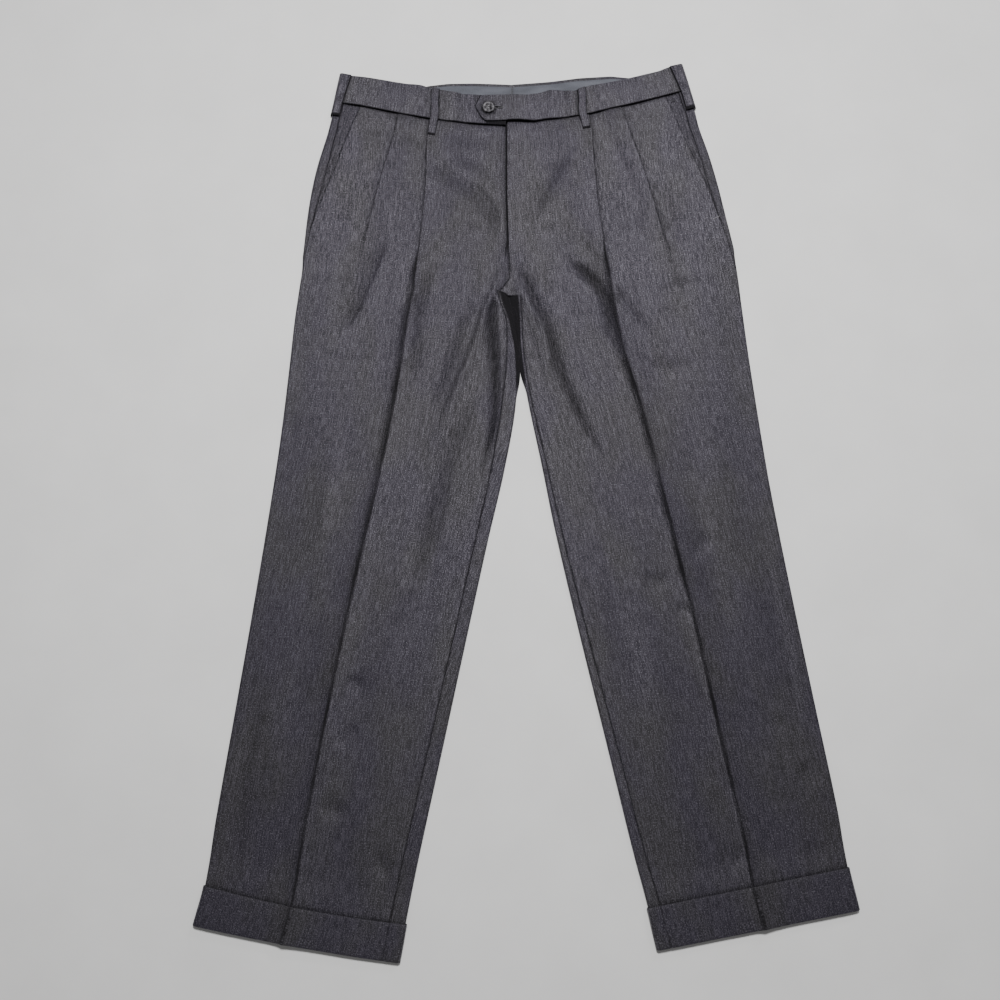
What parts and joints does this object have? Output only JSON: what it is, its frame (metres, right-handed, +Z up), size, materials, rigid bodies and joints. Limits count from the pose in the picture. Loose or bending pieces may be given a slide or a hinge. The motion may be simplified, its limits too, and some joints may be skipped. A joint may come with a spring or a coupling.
{
  "type": "pleated dress trousers",
  "caption": "Pleated dress trousers lying flat, front side up: extended waistband tab with a button, belt loops, slanted pockets, pressed creases and turned-up cuffs.",
  "frame": {"origin": "middle of the laid-out outline, on the surface it lies on", "axes": "+X towards the wearer's left, +Y from the hems to the waist, +Z up off the surface, out of the front"},
  "size_m": [0.6939, 1.0378, 0.0136],
  "materials": {
    "suiting": "worsted wool, dark charcoal with fine lengthwise striations",
    "lining": "smooth blue-grey lining twill",
    "horn": "polished dark horn"
  },
  "bodies": {
    "root": {"right_front": "suiting", "left_front": "suiting", "right_back": "suiting", "left_back": "suiting", "right_pocket_facing": "suiting", "left_pocket_facing": "suiting", "right_waistband": "suiting", "left_waistband": "suiting", "right_waist_lining": "lining", "left_waist_lining": "lining", "right_front_loop": "suiting", "left_front_loop": "suiting", "right_side_loop": "suiting", "left_side_loop": "suiting", "right_cuff": "suiting", "left_cuff": "suiting", "fly_shield": "suiting", "waist_button": "horn"}
  },
  "joints": []
}
